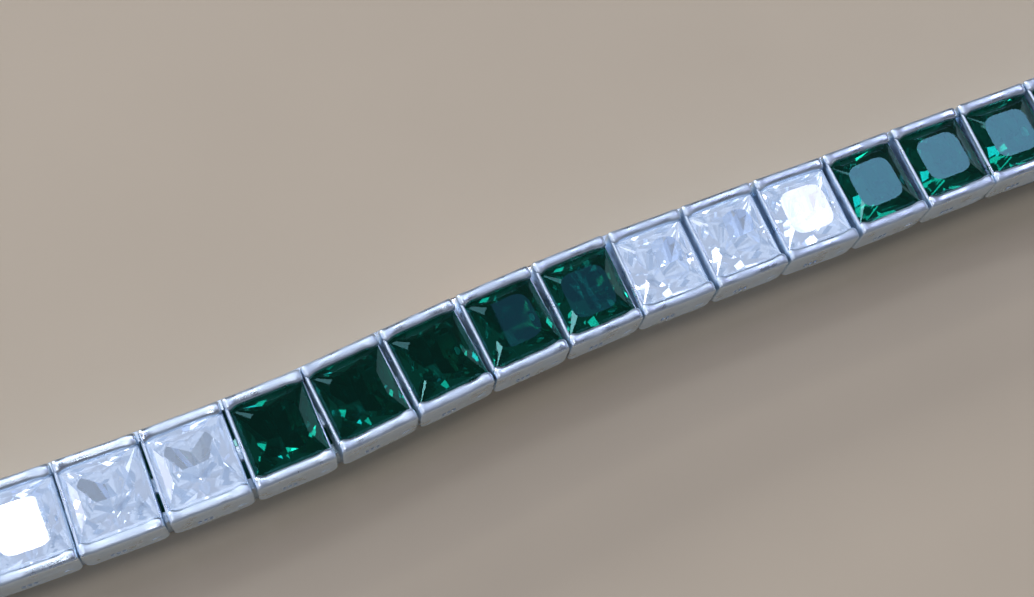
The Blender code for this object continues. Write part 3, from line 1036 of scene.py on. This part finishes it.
class BRACELET_OT_settings(bpy.types.Operator):
    """Build the forty channel settings with their pins and tongues"""

    bl_idname = "bracelet.settings"
    bl_label = "Build Settings"

    def execute(self, context):
        values = context.scene.bracelet
        piece = make_setting(values.setting, values.stone)
        made = place_pieces(
            "channel_settings", piece, LINK_NODES, values.setting.length, metal_material(values.metal),
            ripple=values.setting.ripple)
        hand_over(made, LINK_NODES)
        return {"FINISHED"}


class BRACELET_OT_stones(bpy.types.Operator):
    """Build the green and the clear stones"""

    bl_idname = "bracelet.stones"
    bl_label = "Build Stones"

    def execute(self, context):
        values = context.scene.bracelet
        stone = values.stone
        white = (1.0, 1.0, 1.0)
        # Each kind's glow is painted light: a steady emission in its colour that lightens its stones.
        for kind, colour, mirror, index, clearness, painted_glow, seed in (
            ("green", stone.green, stone.green_mirror, stone.green_index, 1.0, stone.green_painted_glow, 11),
            ("clear", stone.clear, white, stone.clear_index, stone.clearness, stone.clear_painted_glow, 23),
        ):
            nodes = [name for name in LINK_NODES if name.endswith(kind)]
            material = stone_material(f"{kind}_stone", colour, mirror, index, clearness, painted_glow)
            piece = make_stone(values.setting, stone)
            made = place_pieces(
                f"{kind}_stones", piece, nodes, values.setting.length, material, seed, wobble=stone.wobble)
            hand_over(made, nodes)
        return {"FINISHED"}


class BRACELET_OT_clasp(bpy.types.Operator):
    """Build the plain clasp case with its pin and tongue"""

    bl_idname = "bracelet.clasp"
    bl_label = "Build Clasp"

    def execute(self, context):
        values = context.scene.bracelet
        sizes = values.setting
        length = CASE_PITCHES * (sizes.length + sizes.gap) - sizes.gap
        piece = make_clasp(length, sizes)
        material = bpy.data.materials.get("rhodium_silver") or metal_material(values.metal)
        ripple = CASE_RIPPLE * sizes.ripple
        made = place_pieces("clasp_case", piece, ["clasp"], length, material, ripple=ripple)
        hand_over(made, ["clasp"])
        return {"FINISHED"}


class BRACELET_OT_stage(bpy.types.Operator):
    """Build the floor, the camera and the light"""

    bl_idname = "bracelet.stage"
    bl_label = "Build Stage"

    def execute(self, context):
        stage = context.scene.bracelet.stage
        low = CAD_BOUNDS[0].z - FLOOR_BELOW
        corners = [(x * FLOOR_REACH, y * FLOOR_REACH, low) for x, y in ((-1, -1), (1, -1), (1, 1), (-1, 1))]
        mesh = bpy.data.meshes.new("floor")
        mesh.from_pydata(corners, [], [(0, 1, 2, 3)])
        mesh.materials.append(floor_material(stage.floor))
        add_object("floor", mesh)
        place_camera(context, stage)
        light_stage(context)
        context.scene.view_settings.view_transform = "Standard"
        return {"FINISHED"}


class BRACELET_PT_panel(bpy.types.Panel):
    """The bracelet's values and the steps that build it"""

    bl_idname = "BRACELET_PT_panel"
    bl_label = "Tennis Bracelet"
    bl_space_type = "VIEW_3D"
    bl_region_type = "UI"
    bl_category = "Bracelet"

    def draw(self, context):
        values = context.scene.bracelet
        for group in (values.setting, values.stone, values.metal, values.stage):
            box = self.layout.box()
            box.label(text=group.bl_rna.description)
            for name in group.__annotations__:
                box.prop(group, name)
        for step in BUILD_STEPS:
            self.layout.operator(step.bl_idname)


BUILD_STEPS = (BRACELET_OT_settings, BRACELET_OT_stones, BRACELET_OT_clasp, BRACELET_OT_stage)
GROUPS = (BraceletSetting, BraceletStone, BraceletMetal, BraceletStage, BraceletValues)
CLASSES = (*GROUPS, *BUILD_STEPS, BRACELET_PT_panel)


def register():
    for made in CLASSES:
        bpy.utils.register_class(made)
    bpy.types.Scene.bracelet = bpy.props.PointerProperty(type=BraceletValues)


def unregister():
    del bpy.types.Scene.bracelet
    for made in reversed(CLASSES):
        bpy.utils.unregister_class(made)


def main():
    register()
    bpy.ops.bracelet.settings()
    bpy.ops.bracelet.stones()
    bpy.ops.bracelet.clasp()
    bpy.ops.bracelet.stage()


if __name__ == "__main__":
    main()
